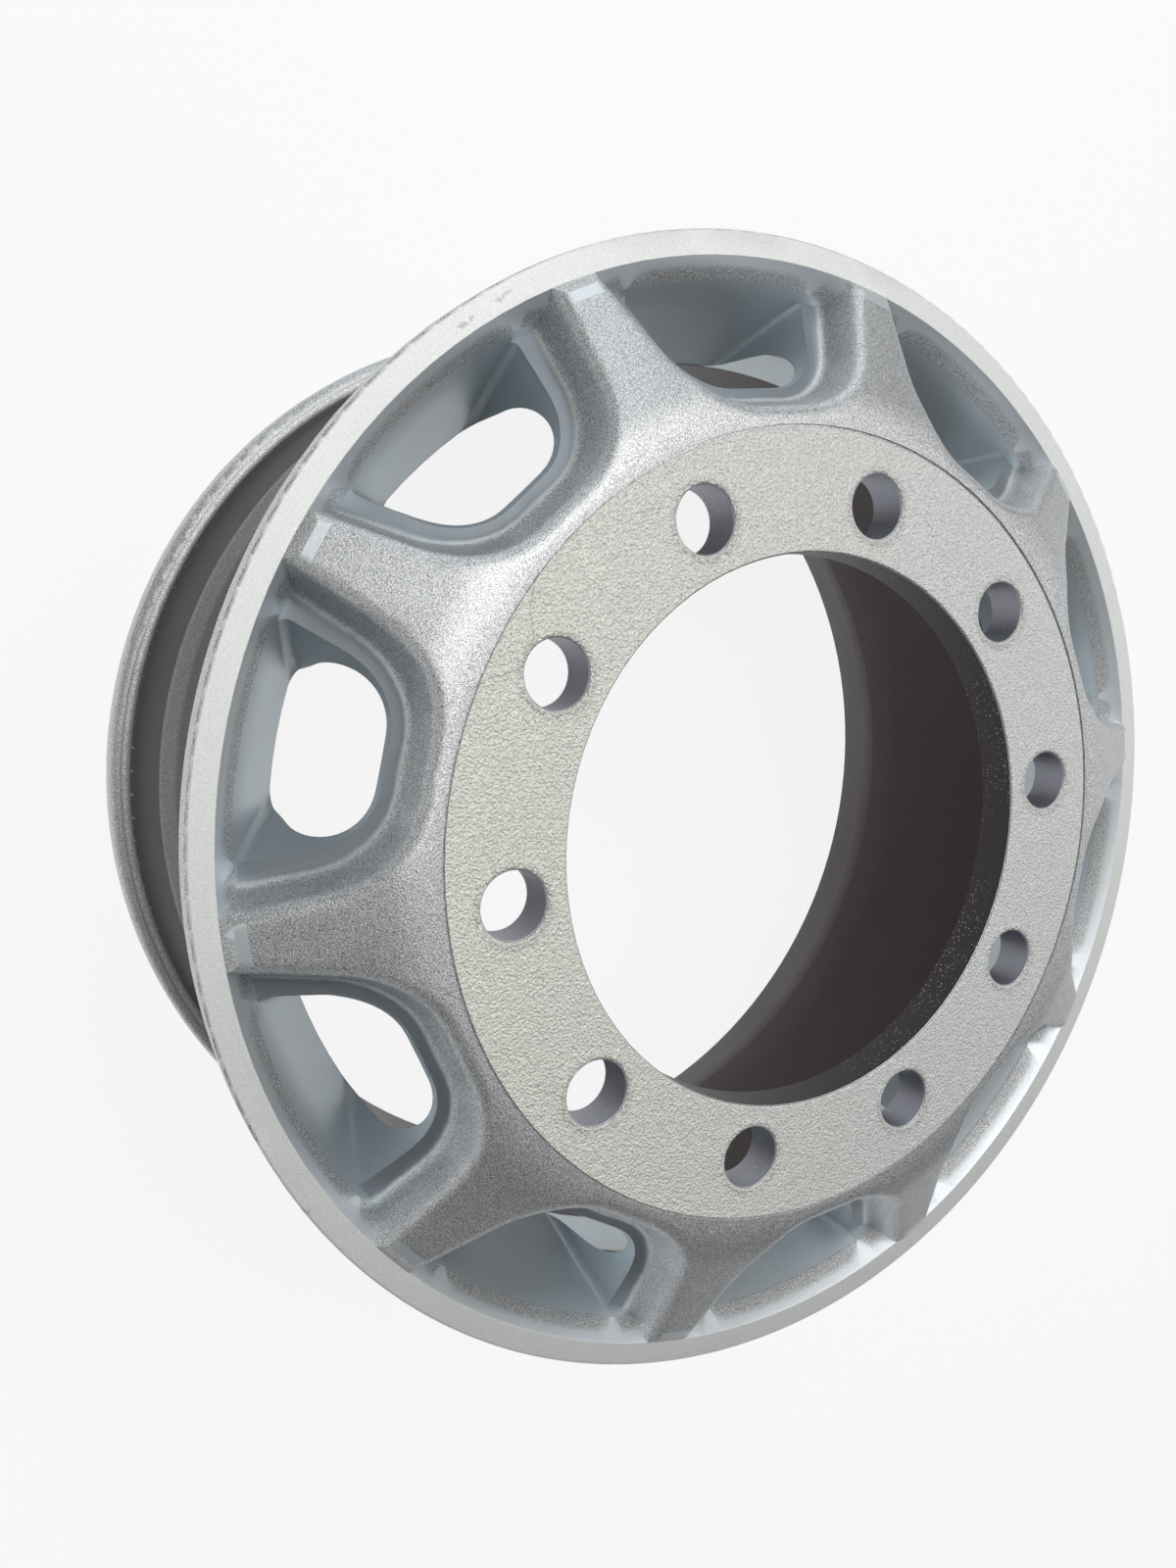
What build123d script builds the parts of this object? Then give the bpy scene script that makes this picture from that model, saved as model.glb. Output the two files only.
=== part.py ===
from build123d import *
import os
from math import cos, radians, sin, tan

# Alloy disc wheel for a truck: one casting, machined on its seats.
# The axis is Z. The wheel lies on its rear flange at z = 0, mounting face up,
# and depths are measured down from the mounting face.

# Overall sizes, in millimetres
bead_diameter = 571.5      # nominal rim diameter, 22.5 in
rim_width = 228.6          # between the two bead flanges, 9.00 in
flange_height = 12.7       # flange top above the nominal bead diameter
flange_width = 17.7        # of each flange, along the axis
front_depth = 40.0         # front flange face below the mounting face

# Mounting disc
bolt_circle = 335.0
bore_land = 27.0           # from the bolt circle in to the centre bore
face_land = 32.5           # and out to the edge of the machined mounting face
bolt_count = 10
bolt_diameter = 32.0
disc_thickness = 22.0
groove_width = 1.6
groove_depth = 1.2
edge_break = 1.0

# Spokes, seen in section through one of them
shoulder_radius = 50.0     # large round from the mounting face to the cone
shoulder_land = 3.0        # flat left outside the turned groove
spoke_slope = 27.0         # degrees below the mounting face
spoke_end_step = 4.8       # the spokes are turned off this far inside the ring
spoke_end_width = 18.6     # of a spoke there, between its drafted sides
spoke_wall = 14.0          # from their faces to the corner of the brake drum space
cavity_round = 50.0        # between the back of the disc and the brake drum space

# Windows between the spokes, one on each side of every bolt hole.
# Both outlines are given at the mounting face and shrink with depth.
recess_land = 9.0          # from the machined face out to a recess
recess_side_angle = 33.3
recess_corner = 58.0
recess_draft = 13.0
recess_floor_depth = 20.0  # of the floor, at the window's hub side
recess_floor_slope = 29.5
recess_foot_round = 8.0
recess_round = 8.0
window_hub_ledge = 2.2     # of the window inside its recess
window_side_ledge = 1.4
window_side_angle = 29.9
window_corner = 52.0
window_draft = 18.3
window_top = 10.0
window_straight_depth = 50.0
window_deep_draft = 7.5
window_crease_round = 4.0
milled_depth = 0.5         # of the windows' outer walls into the barrel

# Rim
flange_edge_round = 1.5
flange_back_round = 6.0
bead_fillet = 8.0
bead_seat_angle = 15.0
front_seat_length = 30.0
rear_seat_length = 38.0
ring_width = 12.15         # flat front face of the rim
band_width = 9.7           # 45 degree band inside the ring
barrel_taper = 29.1        # from the band in to the barrel's neck
well_drop = 30.25          # drop well below the nominal bead diameter
well_flank = 15.3          # along the axis, from the front seat to the well
well_width = 27.0
neck_offset = 4.0          # narrowest place inside the barrel, behind the well's start
ramp_drop = 22.25          # end of the well's long ramp below the nominal bead diameter
ramp_flank = 12.3          # along the axis, from the ramp to the rear seat
flare_length = 64.0        # along the axis, from the rear face to the start of the flare
flare_step = 6.9           # barrel wider there than at its neck
rear_face_width = 16.95
soft_round = 6.0

# Valve hole through the wall of the well, in the window toward -Y
valve_hole_diameter = 9.7
valve_hole_drop = 18.75    # below the nominal bead diameter
valve_hole_offset = 8.0    # in front of the well's start
valve_hole_tilt = 33.5     # degrees between the hole and the wheel's axis
valve_drill_length = 44.0

# For cutting and for picking edges
clear = 5.0                # overrun of cutters past what they cut
near_miss = 1.5            # how far an edge's middle may lie off the surface it is picked by

# Derived sizes
bead_radius = bead_diameter / 2
flange_radius = bead_radius + flange_height
front_seat_depth = front_depth + flange_width
rear_seat_depth = front_seat_depth + rim_width
face_z = rear_seat_depth + flange_width
seat_rise = tan(radians(bead_seat_angle))
front_hump_radius = bead_radius - front_seat_length * seat_rise
front_hump_depth = front_seat_depth + front_seat_length
rear_hump_radius = bead_radius - rear_seat_length * seat_rise
rear_hump_depth = rear_seat_depth - rear_seat_length
ring_inner_radius = flange_radius - ring_width
band_inner_radius = ring_inner_radius - band_width
band_depth = front_depth + band_width
cavity_radius = band_inner_radius - barrel_taper
well_radius = bead_radius - well_drop
well_start_depth = front_hump_depth + well_flank
well_end_depth = well_start_depth + well_width
barrel_neck_depth = well_start_depth + neck_offset
barrel_lean = barrel_taper / (barrel_neck_depth - band_depth)
ramp_end_radius = bead_radius - ramp_drop
ramp_end_depth = rear_hump_depth - ramp_flank
flare_start_radius = cavity_radius + flare_step
flare_start_depth = face_z - flare_length
rear_face_inner_radius = flange_radius - rear_face_width
valve_hole_radius = bead_radius - valve_hole_drop
valve_hole_depth = well_start_depth - valve_hole_offset
bore_radius = bolt_circle / 2 - bore_land
face_radius = bolt_circle / 2 + face_land
shoulder_start = face_radius + shoulder_land
spoke_fall = tan(radians(spoke_slope))
cone_start = shoulder_start + shoulder_radius * tan(radians(spoke_slope / 2))
cavity_depth = (cavity_radius - cone_start) * spoke_fall + spoke_wall
spoke_end_radius = ring_inner_radius - spoke_end_step
spoke_end_depth = (spoke_end_radius - cone_start) * spoke_fall
recess_hub = face_radius + recess_land
window_hub = recess_hub + window_hub_ledge
window_pitch = 360 / bolt_count
recess_end_half = (spoke_end_radius * tan(radians(window_pitch / 2)) - spoke_end_width / 2
                   + spoke_end_depth * tan(radians(recess_draft)) / cos(radians(recess_side_angle)))
recess_half_width = recess_end_half - (spoke_end_radius - recess_hub) * tan(radians(recess_side_angle))
window_half_width = recess_half_width - window_side_ledge
window_bottom = barrel_neck_depth + clear


def place(radius, depth):
    return (radius, face_z - depth)


def distance_to_axis(point):
    return Vector(point.X, point.Y).length


def recess_floor(radius):
    """Depth of the sloping floor that the windows are cut through."""
    return recess_floor_depth + (radius - window_hub) * tan(radians(recess_floor_slope))


def barrel_radius(depth):
    """Inside of the barrel between the front band and its neck."""
    return band_inner_radius - (depth - band_depth) * barrel_lean


def window_outline(hub, half_width, side_angle, corner, inset):
    """Keystone opening with its narrow side toward the hub, inset all round."""
    side = radians(side_angle)
    near = hub + inset
    half = half_width - inset * (1 - sin(side)) / cos(side)
    far = flange_radius + bolt_diameter
    wide = half + (far - near) * tan(side)
    Polygon((near, -half), (far, -wide), (far, wide), (near, half), align=None)
    fillet(vertices().group_by(Axis.X)[0], corner - inset)


# Forged recess around a window: drafted sides down from the spoke faces
with BuildPart() as recess:
    with BuildSketch(Plane.XY.offset(face_z + clear)):
        window_outline(recess_hub, recess_half_width, recess_side_angle, recess_corner,
                       -clear * tan(radians(recess_draft)))
    extrude(amount=-(window_bottom + clear), taper=recess_draft)
    with BuildSketch(Plane.XZ):
        with BuildLine():
            Polyline(
                place(0, recess_floor(0)),
                place(2 * flange_radius, recess_floor(0)),
                place(2 * flange_radius, recess_floor(2 * flange_radius)),
                close=True,
            )
        make_face()
    revolve(axis=Axis.Z, mode=Mode.INTERSECT)

    def is_foot(edge):
        spot = edge.center()
        on_floor = abs(face_z - spot.Z - recess_floor(distance_to_axis(spot))) < near_miss
        return on_floor and distance_to_axis(spot) < flange_radius + bolt_diameter

    fillet(recess.edges().filter_by(is_foot), recess_foot_round)

# Window opening: steeper walls that turn almost straight behind the disc,
# and an outer wall milled a little into the barrel
with BuildPart() as window:
    upper = tan(radians(window_draft))
    lower = tan(radians(window_deep_draft))
    waist = window_straight_depth * upper
    bottom = waist + (window_bottom - window_straight_depth) * lower
    for depth, inset in (
        (window_top, window_top * upper),
        (window_straight_depth, waist),
        (window_bottom, bottom),
    ):
        with BuildSketch(Plane.XY.offset(face_z - depth)):
            window_outline(window_hub, window_half_width, window_side_angle, window_corner, inset)
    loft()
    with BuildSketch(Plane.XZ):
        with BuildLine():
            Polyline(
                place(0, 0),
                place(barrel_radius(0) + milled_depth, 0),
                place(barrel_radius(window_bottom + clear) + milled_depth, window_bottom + clear),
                place(0, window_bottom + clear),
                close=True,
            )
        make_face()
    revolve(axis=Axis.Z, mode=Mode.INTERSECT)

    def is_crease(edge):
        spot = edge.center()
        off_barrel = distance_to_axis(spot) - milled_depth - barrel_radius(face_z - spot.Z)
        return edge.geom_type != GeomType.CIRCLE and abs(off_barrel) < near_miss

    fillet(window.edges().filter_by(is_crease), window_crease_round)

with BuildPart() as wheel:
    # Dished disc, turned in one piece with the spokes
    with BuildSketch(Plane.XZ) as disc_section:
        with BuildLine():
            Polyline(
                place(bore_radius, disc_thickness),
                place(bore_radius, 0),
                place(face_radius - groove_width / 2, 0),
                place(face_radius - groove_width / 2, groove_depth),
                place(face_radius + groove_width / 2, groove_depth),
                place(face_radius + groove_width / 2, 0),
                place(cone_start, 0),
                place(flange_radius, (flange_radius - cone_start) * spoke_fall),
                place(flange_radius, barrel_neck_depth),
                place(cavity_radius, barrel_neck_depth),
                place(cavity_radius, cavity_depth),
                place(face_radius, disc_thickness),
                close=True,
            )
        make_face()
        for corner, rounding in (
            (place(cone_start, 0), shoulder_radius),
            (place(cavity_radius, cavity_depth), cavity_round),
        ):
            fillet(disc_section.vertices().sort_by_distance(corner)[0], rounding)
        chamfer(disc_section.vertices().filter_by_position(Axis.X, 0, bore_radius), edge_break)
    revolve(axis=Axis.Z)
    with PolarLocations(0, bolt_count, start_angle=window_pitch / 2):
        add(recess.part, mode=Mode.SUBTRACT)

    # Soft forged shoulder where the recesses meet the spoke faces
    def is_shoulder(edge):
        spot = edge.center()
        radius = distance_to_axis(spot)
        cone_depth = spoke_fall * max(0, radius - recess_hub)
        turned = edge.geom_type == GeomType.CIRCLE and distance_to_axis(edge.arc_center) < near_miss
        return radius > shoulder_start and face_z - spot.Z < cone_depth + near_miss and not turned

    fillet(wheel.edges().filter_by(is_shoulder), recess_round)

    # Stud holes with broken edges on both faces, the first on +X
    with PolarLocations(bolt_circle / 2, bolt_count):
        Hole(bolt_diameter / 2)

    def is_stud_rim(edge):
        if edge.geom_type != GeomType.CIRCLE:
            return False
        return abs(distance_to_axis(edge.arc_center) - bolt_circle / 2) < near_miss

    chamfer(wheel.edges().filter_by(is_stud_rim), edge_break)

    # The spokes are turned off at their ends and run into the wall of the rim
    with BuildSketch(Plane.XZ):
        with BuildLine():
            Polyline(
                place(spoke_end_radius, spoke_end_depth),
                place(ring_inner_radius, front_depth),
                place(band_inner_radius + clear, band_depth + clear),
                place(cavity_radius + clear, barrel_neck_depth),
                place(flange_radius + clear, barrel_neck_depth),
                place(flange_radius + clear, -clear),
                place(spoke_end_radius, -clear),
                close=True,
            )
        make_face()
    revolve(axis=Axis.Z, mode=Mode.SUBTRACT)

    # Rim: front ring, bead seats, drop well and flared barrel
    with BuildSketch(Plane.XZ) as rim_section:
        with BuildLine():
            Polyline(
                place(ring_inner_radius, front_depth),
                place(flange_radius, front_depth),
                place(flange_radius, front_seat_depth),
                place(bead_radius, front_seat_depth),
                place(front_hump_radius, front_hump_depth),
                place(well_radius, well_start_depth),
                place(well_radius, well_end_depth),
                place(ramp_end_radius, ramp_end_depth),
                place(rear_hump_radius, rear_hump_depth),
                place(bead_radius, rear_seat_depth),
                place(flange_radius, rear_seat_depth),
                place(flange_radius, face_z),
                place(rear_face_inner_radius, face_z),
                place(flare_start_radius, flare_start_depth),
                place(cavity_radius, barrel_neck_depth),
                place(band_inner_radius, band_depth),
                close=True,
            )
        make_face()
        for corner, rounding in (
            (place(flange_radius, front_depth), flange_edge_round),
            (place(flange_radius, front_seat_depth), flange_back_round),
            (place(bead_radius, front_seat_depth), bead_fillet),
            (place(front_hump_radius, front_hump_depth), soft_round),
            (place(well_radius, well_start_depth), soft_round),
            (place(ramp_end_radius, ramp_end_depth), soft_round),
            (place(rear_hump_radius, rear_hump_depth), soft_round),
            (place(bead_radius, rear_seat_depth), bead_fillet),
            (place(flange_radius, rear_seat_depth), flange_back_round),
            (place(flange_radius, face_z), flange_edge_round),
            (place(rear_face_inner_radius, face_z), flange_edge_round),
        ):
            fillet(rim_section.vertices().sort_by_distance(corner)[0], rounding)
    revolve(axis=Axis.Z)

    with PolarLocations(0, bolt_count, start_angle=window_pitch / 2):
        add(window.part, mode=Mode.SUBTRACT)

    # Valve hole, square to the wall of the well
    with Locations((0, -valve_hole_radius, face_z - valve_hole_depth)):
        Cylinder(valve_hole_diameter / 2, valve_drill_length, rotation=(-valve_hole_tilt, 0, 0),
                 mode=Mode.SUBTRACT)

wheel.part.label = "wheel"
os.makedirs("parts", exist_ok=True)
export_step(wheel.part, "parts/wheel.step")
print("volume", round(wheel.part.volume), "solids", len(wheel.solids()), "faces", len(wheel.faces()))
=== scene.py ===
from math import radians

import bmesh
import bpy
from mathutils import Matrix, Vector


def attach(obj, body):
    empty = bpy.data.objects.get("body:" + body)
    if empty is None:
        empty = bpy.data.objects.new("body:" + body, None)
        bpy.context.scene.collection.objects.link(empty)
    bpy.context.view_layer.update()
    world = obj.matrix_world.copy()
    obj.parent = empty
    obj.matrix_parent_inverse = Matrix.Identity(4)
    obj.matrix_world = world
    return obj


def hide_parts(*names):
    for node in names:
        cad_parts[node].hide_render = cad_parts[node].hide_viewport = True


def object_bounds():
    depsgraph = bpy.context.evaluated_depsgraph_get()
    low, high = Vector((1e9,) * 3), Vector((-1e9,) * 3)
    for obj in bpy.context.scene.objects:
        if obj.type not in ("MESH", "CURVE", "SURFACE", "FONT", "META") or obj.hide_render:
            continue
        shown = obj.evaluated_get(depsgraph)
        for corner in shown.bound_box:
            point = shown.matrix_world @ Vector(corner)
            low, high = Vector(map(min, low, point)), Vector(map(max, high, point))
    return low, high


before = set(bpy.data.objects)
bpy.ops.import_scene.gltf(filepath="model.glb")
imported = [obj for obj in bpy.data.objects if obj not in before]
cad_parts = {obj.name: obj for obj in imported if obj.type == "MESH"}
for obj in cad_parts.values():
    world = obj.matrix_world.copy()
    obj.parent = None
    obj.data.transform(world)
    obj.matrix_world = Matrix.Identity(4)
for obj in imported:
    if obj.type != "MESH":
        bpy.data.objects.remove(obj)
cad_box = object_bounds()


# Camera. The picture's focal length, place and turn come from the ten stud holes, which lie on one
# known circle. The wheel lies on its rear flange here, so its picture's upward side points sideways.
picture_width, picture_height = 1200, 1600
focal_pixels = 1203.556
camera_place = Vector((0.25185, 0.30444, 0.76438))
camera_back = Vector((0.31668, 0.37747, 0.87019))
picture_up = Vector((0.87940, -0.46066, -0.12020))

lens = bpy.data.cameras.new("camera")
lens.sensor_width = 36.0
lens.lens = focal_pixels / max(picture_width, picture_height) * lens.sensor_width
lens.clip_start = 0.01
lens.clip_end = 50.0
camera = bpy.data.objects.new("camera", lens)
bpy.context.scene.collection.objects.link(camera)
picture_right = picture_up.cross(camera_back)
turn = Matrix((picture_right, picture_up, camera_back)).transposed().to_4x4()
camera.matrix_world = Matrix.Translation(camera_place) @ turn
bpy.context.scene.camera = camera


# Wheel. One piece of aluminium alloy, machined where hub, nuts and tyre seat, and sprayed all over
# with a coarse silver paint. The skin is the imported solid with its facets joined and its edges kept.
class Term:
    """A node's output that can stand in sums, products and comparisons."""

    def __init__(self, recipe, socket):
        self.recipe = recipe
        self.socket = socket

    def maths(self, operation, *others):
        return self.recipe.node("ShaderNodeMath", {"operation": operation}, (self, *others))

    def __add__(self, other):
        return self.maths("ADD", other)

    def __sub__(self, other):
        return self.maths("SUBTRACT", other)

    def __mul__(self, other):
        return self.maths("MULTIPLY", other)

    def __truediv__(self, other):
        return self.maths("DIVIDE", other)

    def __rsub__(self, other):
        return self.recipe.node("ShaderNodeMath", {"operation": "SUBTRACT"}, (other, self))

    __radd__ = __add__
    __rmul__ = __mul__

    def above(self, edge, soft):
        """0 below edge and 1 above it, with a soft step of the given width."""
        sockets = {"Value": self, "From Min": edge - soft / 2, "From Max": edge + soft / 2}
        return self.recipe.node("ShaderNodeMapRange", {"clamp": True}, sockets)

    def below(self, edge, soft):
        return 1 - self.above(edge, soft)

    def between(self, low, high, soft):
        return self.above(low, soft) * self.below(high, soft)

    def spread(self, contrast):
        """A noise about its middle of one half, with its swing made this many times wider."""
        return ((self - 0.5) * contrast + 0.5).limited()

    def limited(self):
        return self.recipe.node("ShaderNodeClamp", {}, (self,))


class Recipe:
    """The nodes of one material, or of the world."""

    def __init__(self, owner):
        owner.use_nodes = True
        self.tree = owner.node_tree

    def node(self, kind, settings, sockets, output=0):
        made = self.tree.nodes.new(kind)
        for name, value in settings.items():
            setattr(made, name, value)
        pairs = sockets.items() if isinstance(sockets, dict) else enumerate(sockets)
        for name, value in pairs:
            self.feed(made.inputs[name], value)
        return Term(self, made.outputs[output])

    def feed(self, socket, value):
        if isinstance(value, Term):
            self.tree.links.new(value.socket, socket)
        else:
            socket.default_value = value

    def vector(self, operation, first, second, output=0):
        return self.node("ShaderNodeVectorMath", {"operation": operation}, (first, second), output)

    def mix(self, mask, first, second):
        """Colour that goes from first to second as mask goes from 0 to 1."""
        sockets = {0: mask, 6: first, 7: second}
        return self.node("ShaderNodeMix", {"data_type": "RGBA", "clamp_factor": True}, sockets, 2)

    def noise(self, spot, scale, detail, roughness):
        sockets = {"Vector": spot, "Scale": scale, "Detail": detail, "Roughness": roughness}
        return self.node("ShaderNodeTexNoise", {}, sockets)

    def stroke(self, spot, points, width):
        """1 along a thin line through the points, which are pairs of x and y, and 0 beside it."""
        line = 0.0
        for start, end in zip(points, points[1:]):
            first = Vector((*start, 0.0))
            run = Vector((*end, 0.0)) - first
            from_first = self.vector("SUBTRACT", spot, first)
            share = self.vector("DOT_PRODUCT", from_first, run / run.length_squared, "Value").limited()
            nearest = self.node("ShaderNodeVectorMath", {"operation": "SCALE"}, {0: run, "Scale": share})
            distance = self.vector("DISTANCE", from_first, nearest, "Value")
            line = distance.below(width, soft=width).maths("MAXIMUM", line)
        return line

    def strokes(self, spot, lines, width):
        drawn = 0.0
        for points in lines:
            drawn = self.stroke(spot, points, width) + drawn
        return drawn


def rgb(red, green, blue):
    return (red, green, blue, 1.0)


silver_paint = bpy.data.materials.new("silver_paint")
paint = Recipe(silver_paint)
shader = silver_paint.node_tree.nodes["Principled BSDF"]

# The place of a point on the wheel: its radius, its depth below the mounting face, and how much the
# surface there faces away from the axis and up. All lengths are in metres.
face_height = cad_box[1][2]
place = paint.node("ShaderNodeTexCoord", {}, {}, "Object")
across = paint.node("ShaderNodeSeparateXYZ", {}, (place,), 0)
along = paint.node("ShaderNodeSeparateXYZ", {}, (place,), 1)
height = paint.node("ShaderNodeSeparateXYZ", {}, (place,), 2)
flat_place = paint.node("ShaderNodeCombineXYZ", {}, (across, along, 0.0))
radius = paint.node("ShaderNodeVectorMath", {"operation": "LENGTH"}, (flat_place,), "Value")
depth = face_height - height
facing = paint.node("ShaderNodeNewGeometry", {}, {}, "Normal")
outward = paint.vector("DOT_PRODUCT", facing, flat_place, "Value") / radius
upward = paint.node("ShaderNodeSeparateXYZ", {}, (facing,), 2)

# Machined seats. A surface turned about the wheel's axis has no sideways lean, and the side walls of
# the windows have much. The ring is the front flange's flat rim, and the band slopes inside it.
seat_radius, seat_depth = 0.1992, 0.0006
ring_radius, ring_depth, ring_margin = 0.2862, 0.0400, 0.0006
band_radius, band_end = 0.2764, 0.2864
on_face = depth.below(seat_depth, soft=0.0004) * radius.below(seat_radius, soft=0.0006)
on_ring = radius.above(ring_radius, soft=0.0006) \
    * depth.between(ring_depth - ring_margin, ring_depth + ring_margin, soft=0.0002)
turned = (outward * outward + upward * upward).above(0.90, soft=0.06)
on_band = turned * upward.above(0.65, soft=0.03) * radius.between(band_radius, band_end, soft=0.0004)

# Windows. Their recesses have a sloping floor, and what lies past it belongs to the opening itself.
floor_start, floor_slope, floor_depth = 0.2112, 0.566, 0.0200
window_start, window_end = 0.2080, 0.2768
cone_start, cone_corner = 0.245, 0.262
milled_depth, disc_end = 0.0500, 0.1072
past_floor = depth - (radius - floor_start) * floor_slope - floor_depth
in_window_circle = radius.above(window_start, soft=0.002) * radius.below(window_end, soft=0.0004)
in_front = depth.below(disc_end, soft=0.0006) * upward.above(-0.1, soft=0.1)
mouth = upward.above(0.66, soft=0.10) * upward.below(0.95, soft=0.04) * past_floor.above(-0.0016, soft=0.0008)
barrel_cone = turned * outward.above(0.0, soft=0.2) * radius.above(cone_start, soft=0.001)
cut_wall = past_floor.above(0.0004, soft=0.0008) * (1 - barrel_cone)
milled_wall = turned * outward.below(-0.70, soft=0.1) * depth.above(milled_depth, soft=0.0004)
in_window = (mouth + cut_wall + milled_wall).limited() * in_window_circle * in_front
# Painted shade: the strip that faces up at the foot of each window mouth is coloured as dark as the shaded
# window wall.
foot_painted_shade = mouth * in_window_circle * in_front
# Painted highlight: a thin light line along the rounded mouth edge of each window.
mouth_painted_highlight = upward.above(0.58, soft=0.04) * upward.below(0.74, soft=0.06) \
    * past_floor.above(-0.0026, soft=0.0006) * past_floor.below(0.0006, soft=0.0004) \
    * in_window_circle * (1 - turned * radius.above(cone_corner, soft=0.002))
# Painted shade: the steep side walls of the window recesses are darkened.
recess_painted_shade = upward.below(0.55, soft=0.2) * past_floor.below(-0.002, soft=0.002) \
    * (1 - turned) * in_window_circle

# Bore and stud holes, and the place round the nearest stud hole, found by folding the angle into one
# tenth of a turn
stud_circle_radius = 0.1675
stud_zone_start, stud_zone_end = 0.1440, 0.1900
edge_depth, edge_end = 0.003, 0.192
bolt_pitch = radians(36)
upright = upward.between(-0.3, 0.3, soft=0.1)
in_centre_bore = upright * radius.below(stud_zone_start, soft=0.001)
in_stud_holes = upright * radius.between(stud_zone_start, stud_zone_end, soft=0.001)
broken_edge = upward.above(0.4, soft=0.1) * upward.below(0.96, soft=0.02) \
    * depth.below(edge_depth, soft=0.001) * radius.below(edge_end, soft=0.001)
turn_angle = paint.node("ShaderNodeMath", {"operation": "ARCTAN2"}, (along, across))
folded = turn_angle.maths("WRAP", bolt_pitch / 2, -bolt_pitch / 2)
from_hole = radius * folded.maths("COSINE") - stud_circle_radius
beside_hole = radius * folded.maths("SINE")
hole_distance = (from_hole * from_hole + beside_hole * beside_hole).maths("SQRT")

# Barrel and back of the disc, which the coats below paint dark as painted shade, with a reddish painted
# reflection on the rear bead seat
barrel_start, barrel_radius = 0.0570, 0.2500
drum_depth = 0.1074
flange_depth, flange_radius = 0.2850, 0.2868
hump_depth, rear_seat_depth = 0.2410, 0.2500
back_depth, back_end = 0.012, 0.249
outside = turned * outward.above(0.0, soft=0.3) \
    * radius.above(barrel_radius, soft=0.001) * depth.above(barrel_start, soft=0.001)
rear_flange = depth.above(flange_depth, soft=0.002) * radius.above(flange_radius, soft=0.001)
barrel_outside = outside * (1 - rear_flange)
hump = depth.between(hump_depth, rear_seat_depth, soft=0.002)
reddish_seat_reflection = barrel_outside * depth.above(rear_seat_depth, soft=0.002)
barrel_inside = depth.above(drum_depth, soft=0.0006) * outward.below(0.0, soft=0.2)
disc_back = upward.below(-0.2, soft=0.1) \
    * depth.above(back_depth, soft=0.002) * radius.below(back_end, soft=0.001)

# Coarse silver paint: flakes and spray grain, finer on machined seats and milled window walls
flakes = paint.noise(place, scale=1700.0, detail=1.0, roughness=0.5)
spray = paint.noise(place, scale=420.0, detail=2.0, roughness=0.6)
patches = paint.noise(place, scale=14.0, detail=2.0, roughness=0.55)
pebbles = paint.noise(place, scale=850.0, detail=1.0, roughness=0.45)
dots = paint.node("ShaderNodeTexVoronoi", {}, {"Vector": place, "Scale": 480.0}, "Distance")
specks = dots.below(0.19, soft=0.10) * patches.above(0.50, soft=0.20)
smooth_skin = on_face * 0.6 + on_ring * 0.5 + on_band * 0.7 + in_window * 0.8 + in_centre_bore
coarse = 1 - smooth_skin.limited()

dark_fleck = rgb(0.26, 0.27, 0.29)
bright_fleck = rgb(0.90, 0.91, 0.91)
fleck_contrast = coarse * 2.3 + 0.4
silver = paint.mix(flakes.spread(fleck_contrast), dark_fleck, bright_fleck)

seat_shade = rgb(0.59, 0.60, 0.59)
seat_light = rgb(0.91, 0.92, 0.90)
# Painted warm light: the mounting face is made lighter and warmer towards one side, as if lit from there.
warm_lit_grain_dark = rgb(0.74, 0.73, 0.67)
warm_lit_grain_bright = rgb(1.00, 0.99, 0.90)
lit_side_x, lit_side_y = 0.36, 0.80
warm_lit_side = (across * lit_side_x + along * lit_side_y).above(0.06, soft=0.24)
seat_grain = ((pebbles - 0.5) * 1.2 + (flakes - 0.5) * 0.8 + 0.5).limited()
plain_seat = paint.mix(seat_grain, seat_shade, seat_light)
warm_lit_seat = paint.mix(seat_grain, warm_lit_grain_dark, warm_lit_grain_bright)
seat = paint.mix(warm_lit_side, plain_seat, warm_lit_seat)

ring_shade = rgb(0.72, 0.73, 0.72)
ring_light = rgb(0.95, 0.96, 0.94)
ring_paint = paint.mix(flakes.spread(1.6), ring_shade, ring_light)

# Hairline cracks beside the stud holes and a few knocks on the ring, as points in metres
cracks = (
    ((0.1453, 0.1144), (0.1477, 0.1284), (0.1460, 0.1440), (0.1458, 0.1576)),
    ((0.1538, 0.1029), (0.1671, 0.0989), (0.1768, 0.0920), (0.1791, 0.0879)),
    ((0.1804, 0.0166), (0.1849, 0.0364)),
    ((-0.0432, 0.1747), (-0.0279, 0.1869)))
knocks = (
    ((-0.0413, 0.2935), (-0.0393, 0.2955)),
    ((0.2905, 0.0330), (0.2890, 0.0400)),
    ((0.2865, 0.0540), (0.2840, 0.0630)),
    ((-0.2143, 0.2084), (-0.2113, 0.2114)))
crack_width, crack_depth = 0.0002, 0.020
knock_width, knock_start, knock_end = 0.0012, 0.038, 0.044
wander = (spray - 0.5) * 0.002
bent_place = paint.node("ShaderNodeCombineXYZ", {}, (across + wander, along - wander, 0.0))
crack = paint.strokes(bent_place, cracks, crack_width) * depth.below(crack_depth, soft=0.002)
knock = paint.strokes(bent_place, knocks, knock_width) * spray.above(0.48, soft=0.06) \
    * depth.between(knock_start, knock_end, soft=0.001)

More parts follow.
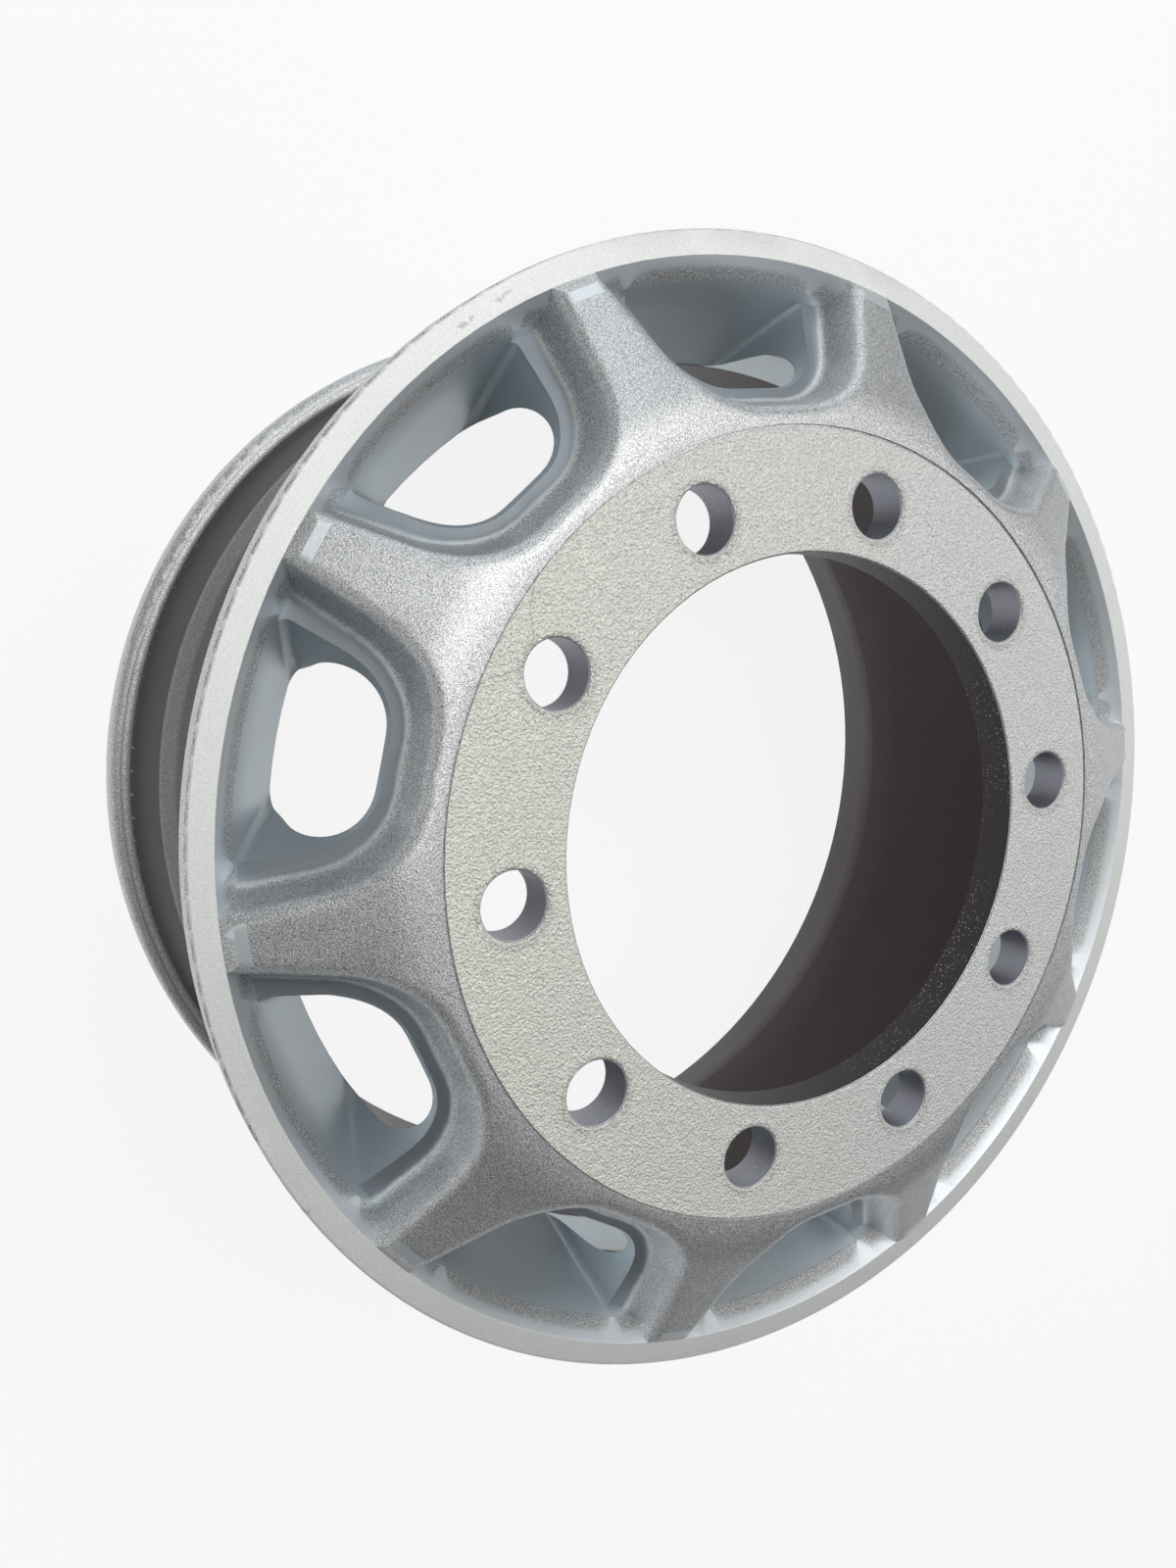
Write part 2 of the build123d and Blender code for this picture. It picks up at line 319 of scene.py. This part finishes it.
# Coats from the silver outwards: where each one lies, how much of it covers, and its colour
dark_wall_grey = rgb(0.36, 0.37, 0.43)
overspray = rgb(0.90, 0.91, 0.92)
coats = (
    (on_face, 0.95, seat),
    (on_ring, 0.85, ring_paint),
    # Painted sky reflection: the smooth machined band gets a light bluish white that stands in for the sky it
    # reflects.
    (on_band, 0.70, rgb(0.84, 0.90, 0.94)),
    # Smooth milled window walls in a blue-grey whose blue tint is a painted sky reflection.
    (in_window, 0.80, rgb(0.56, 0.64, 0.69)),
    # Painted shade on the upward strip at the foot of the mouth.
    (foot_painted_shade, 0.90, rgb(0.30, 0.33, 0.36)),
    # Painted highlight along the window mouths.
    (mouth_painted_highlight, 0.35, rgb(0.88, 0.86, 0.82)),
    (in_stud_holes, 0.85, dark_wall_grey),
    # Painted shade: the machined bore wall is coloured nearly black.
    (in_centre_bore, 0.95, rgb(0.050, 0.042, 0.042)),
    # Painted shade: the barrel's outside is coloured dark grey, a little less dark on the hump.
    (barrel_outside * (1 - hump * 0.25), 0.80, rgb(0.105, 0.095, 0.098)),
    # Painted reflection and shade: the rear bead seat is coloured dark red, standing in for a red ground
    # reflected there.
    (reddish_seat_reflection, 0.70, rgb(0.040, 0.026, 0.026)),
    # Painted shade: the inside of the barrel and the back of the disc are coloured nearly black brown.
    ((barrel_inside + disc_back).limited(), 0.97, rgb(0.026, 0.014, 0.016)),
    # Painted shade in the window recesses.
    (recess_painted_shade, 0.20, dark_wall_grey),
    (specks * in_centre_bore, 0.60, overspray),
    (specks * in_stud_holes, 0.50, overspray),
    # Painted highlight: the broken edges round the bore and stud holes get the ring's light colour.
    (broken_edge, 0.80, ring_light),
    ((crack * 0.6 + knock * 0.4).limited(), 1.00, rgb(0.22, 0.22, 0.22)))
base = silver
for where, cover, colour in coats:
    base = paint.mix(where * cover, base, colour)
paint.feed(shader.inputs["Base Color"], base)
metal = 0.85 - on_face * 0.40 - on_ring * 0.35 - barrel_outside * 0.35
paint.feed(shader.inputs["Metallic"], metal)
rough = 0.48 + on_face * 0.12 + on_ring * 0.12 + (patches - 0.5) * 0.08 + (flakes - 0.5) * 0.2 * coarse
paint.feed(shader.inputs["Roughness"], rough.limited())

# Relief: pebbled mounting face, burrs round the stud holes, grain elsewhere
burr_start, burr_end = 0.0172, 0.0195
pebble_height, burr_height, spray_height, flake_height = 0.0013, 0.0008, 0.00008, 0.00016
burr = hole_distance.above(burr_start, soft=0.0008) * hole_distance.below(burr_end, soft=0.003) * on_face
relief = pebbles * on_face * pebble_height + spray.above(0.50, soft=0.12) * burr * burr_height \
    + spray * spray_height + flakes * coarse * flake_height
bump = paint.node("ShaderNodeBump", {}, {"Strength": 1.0, "Distance": 1.0, "Height": relief})
paint.feed(shader.inputs["Normal"], bump)

facet_gap = 0.00001
crease_angle = radians(24)
skin = bmesh.new()
skin.from_mesh(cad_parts["wheel"].data)
bmesh.ops.remove_doubles(skin, verts=skin.verts, dist=facet_gap)
for face in skin.faces:
    face.smooth = True
for edge in skin.edges:
    edge.smooth = edge.is_manifold and edge.calc_face_angle(0.0) < crease_angle
skin_mesh = bpy.data.meshes.new("wheel_skin")
skin.to_mesh(skin_mesh)
skin.free()
wheel = bpy.data.objects.new("wheel_skin", skin_mesh)
bpy.context.scene.collection.objects.link(wheel)
skin_mesh.materials.clear()
skin_mesh.materials.append(silver_paint)
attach(wheel, "root")
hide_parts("wheel")


# Floor. A plain pale studio floor that the wheel lies on. It looks nearly white to the camera and in
# reflections, and still takes the wheel's shadow.
def seeing_rays(recipe):
    """1 for a ray from the camera, from a mirror and from glass, in that order."""
    by_camera = recipe.node("ShaderNodeLightPath", {}, {}, "Is Camera Ray")
    by_mirror = recipe.node("ShaderNodeLightPath", {}, {}, "Is Glossy Ray")
    by_glass = recipe.node("ShaderNodeLightPath", {}, {}, "Is Transmission Ray")
    return by_camera, by_mirror, by_glass


floor_half_width = 12.0
floor_glow = 0.88
floor_shape = bmesh.new()
bmesh.ops.create_grid(floor_shape, x_segments=1, y_segments=1, size=floor_half_width)
floor_mesh = bpy.data.meshes.new("floor")
floor_shape.to_mesh(floor_mesh)
floor_shape.free()
floor = bpy.data.objects.new("floor", floor_mesh)
bpy.context.scene.collection.objects.link(floor)
pale_floor = bpy.data.materials.new("pale_floor")
ground = Recipe(pale_floor)
ground_shader = pale_floor.node_tree.nodes["Principled BSDF"]
ground_shader.inputs["Base Color"].default_value = rgb(0.82, 0.82, 0.82)
ground_shader.inputs["Roughness"].default_value = 0.9
ground_shader.inputs["Specular IOR Level"].default_value = 0.1
glow = ground.node("ShaderNodeEmission", {}, {"Color": rgb(1.0, 1.0, 1.0), "Strength": 1.0})
by_camera, by_mirror, by_glass = seeing_rays(ground)
seen = (by_camera + by_mirror + by_glass).limited() * floor_glow
matt = Term(ground, ground_shader.outputs["BSDF"])
blend = ground.node("ShaderNodeMixShader", {}, (seen, matt, glow))
ground.feed(pale_floor.node_tree.nodes["Material Output"].inputs["Surface"], blend)
floor_mesh.materials.append(pale_floor)


# Light. Soft panels hang over the wheel, on the side that is up in the picture and at its left and
# right. A dim plain world fills the rest, and is white where the camera sees it.
wheel_middle = Vector((0.0, 0.0, 0.2))
panels = (
    ("high_panel", (0.65, -0.33, 2.15), (2.2, 1.6), 33.5, (1.00, 0.99, 0.97)),
    ("sky_panel", (2.10, -1.10, 0.80), (1.6, 1.2), 10.0, (0.86, 0.94, 1.00)),
    ("right_panel", (-0.80, -1.90, 1.20), (1.6, 1.2), 6.5, (1.00, 1.00, 1.00)),
    ("left_panel", (0.70, 2.10, 0.90), (1.6, 1.2), 4.0, (1.00, 1.00, 1.00)))
for panel_name, panel_place, panel_size, watts, tint in panels:
    lamp = bpy.data.lights.new(panel_name, "AREA")
    lamp.shape = "RECTANGLE"
    lamp.size, lamp.size_y = panel_size
    lamp.energy = watts
    lamp.color = tint
    panel = bpy.data.objects.new(panel_name, lamp)
    panel.location = panel_place
    panel.rotation_mode = "QUATERNION"
    panel.rotation_quaternion = (wheel_middle - panel.location).to_track_quat("-Z", "Y")
    bpy.context.scene.collection.objects.link(panel)

fill_level, camera_extra, mirror_extra = 0.10, 0.90, 0.04
studio = bpy.data.worlds.new("studio")
bpy.context.scene.world = studio
sky = Recipe(studio)
backdrop = studio.node_tree.nodes["Background"]
by_camera, by_mirror, by_glass = seeing_rays(sky)
level = fill_level + by_camera * camera_extra + (by_mirror + by_glass) * mirror_extra
sky.feed(backdrop.inputs["Strength"], level)
backdrop.inputs["Color"].default_value = rgb(0.95, 0.98, 1.0)
bpy.context.scene.view_settings.view_transform = "Standard"
